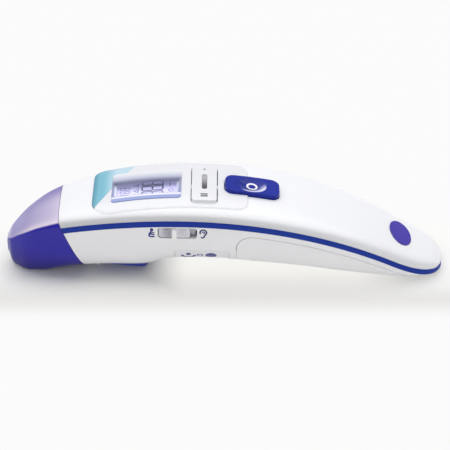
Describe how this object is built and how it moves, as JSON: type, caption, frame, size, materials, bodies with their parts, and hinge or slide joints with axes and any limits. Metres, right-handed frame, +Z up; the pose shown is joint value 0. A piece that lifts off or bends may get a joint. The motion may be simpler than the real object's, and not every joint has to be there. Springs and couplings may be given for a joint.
{
  "type": "digital ear thermometer",
  "caption": "Curved hand-held infrared ear and forehead thermometer with a display window, keys, a side slider, a pull-off probe cap and a battery door.",
  "frame": {"origin": "centre of the bounding box on the surface the wand rests on", "axes": "+X from the cap's nose to the tail, +Y to the far side, +Z up through the display"},
  "size_m": [0.1577, 0.0394, 0.0348],
  "materials": {
    "shell_white": "smooth satin gloss",
    "shell_grey": "fine satin",
    "band_blue": "gloss",
    "cap_blue": "high gloss",
    "button_blue": "gloss",
    "fascia_white": "gloss",
    "corner_cyan": "gloss",
    "lens_clear": "polished",
    "lcd_blue": "lit display",
    "holder_white": "moulded",
    "key_white": "satin gloss",
    "inlay_grey": "brushed",
    "slider_grey": "moulded",
    "switch_black": "moulded",
    "board_green": "solder mask",
    "probe_white": "satin",
    "gold": "polished gold plate",
    "window_clear": "polished",
    "can_steel": "plain",
    "block_alu": "turned",
    "spring_steel": "nickel plated",
    "cell_jacket": "printed film",
    "badge_blue": "gloss",
    "label_film": "printed film",
    "ribbon_amber": "polyimide film",
    "strip_rubber": "elastomer"
  },
  "bodies": {
    "wand": {"upper_shell": "shell_white", "lower_shell": "shell_grey", "trim_band": "band_blue", "probe_nose": "probe_white", "ear_waveguide": "gold", "probe_window": "window_clear", "sensor_can": "can_steel", "sensor_block": "block_alu", "sensor_board": "board_green", "fascia": "fascia_white", "fascia_corner": "corner_cyan", "display_lens": "lens_clear", "lcd_glass": "lcd_blue", "lcd_backlight": "holder_white", "lcd_holder": "holder_white", "lcd_contact_strip": "strip_rubber", "slide_switch": "switch_black", "main_board": "board_green", "scan_switch": "switch_black", "near_key_switch": "switch_black", "far_key_switch": "switch_black", "trigger_switch": "switch_black", "processor": "switch_black", "buzzer": "switch_black", "board_screws": "can_steel", "sensor_ribbon": "ribbon_amber", "trigger_pin": "can_steel", "near_cell": "cell_jacket", "far_cell": "cell_jacket", "battery_tray": "switch_black", "bridge_contact": "spring_steel", "near_contact": "spring_steel", "far_contact": "spring_steel", "front_spring": "spring_steel", "rear_spring": "spring_steel", "tail_badge": "badge_blue", "label_plate": "label_film"},
    "cap": {"protective_cap": "cap_blue"},
    "rocker": {"rocker_key": "key_white", "key_inlay": "inlay_grey"},
    "scan": {"scan_button": "button_blue"},
    "slider": {"mode_slider": "slider_grey"},
    "trigger": {"finger_trigger": "button_blue"},
    "door": {"battery_door": "shell_grey"}
  },
  "joints": [
    {"name": "cap_slide", "type": "slide", "parent": "wand", "child": "cap", "axis": [-1, 0, 0], "range_m": [0, 0.028]},
    {"name": "rocker_tilt", "type": "hinge", "parent": "wand", "child": "rocker", "pos_m": [-0.00709, 0, 0.03246], "axis": [0.9989, 0, -0.0469], "range_deg": [-1.8, 1.8], "stiffness_Nm_per_rad": 0.05},
    {"name": "scan_press", "type": "slide", "parent": "wand", "child": "scan", "axis": [-0.1613, 0, -0.9869], "range_m": [0, 0.0005], "stiffness_N_per_m": 1200},
    {"name": "slider_move", "type": "slide", "parent": "wand", "child": "slider", "axis": [1, 0, 0], "range_m": [0, 0.0022]},
    {"name": "trigger_press", "type": "hinge", "parent": "wand", "child": "trigger", "pos_m": [-0.0454, 0, 0.00558], "axis": [0, -1, 0], "range_deg": [0, 2.4], "stiffness_Nm_per_rad": 0.08},
    {"name": "door_lift", "type": "slide", "parent": "wand", "child": "door", "axis": [0, 0, -1], "range_m": [0, 0.016]}
  ]
}
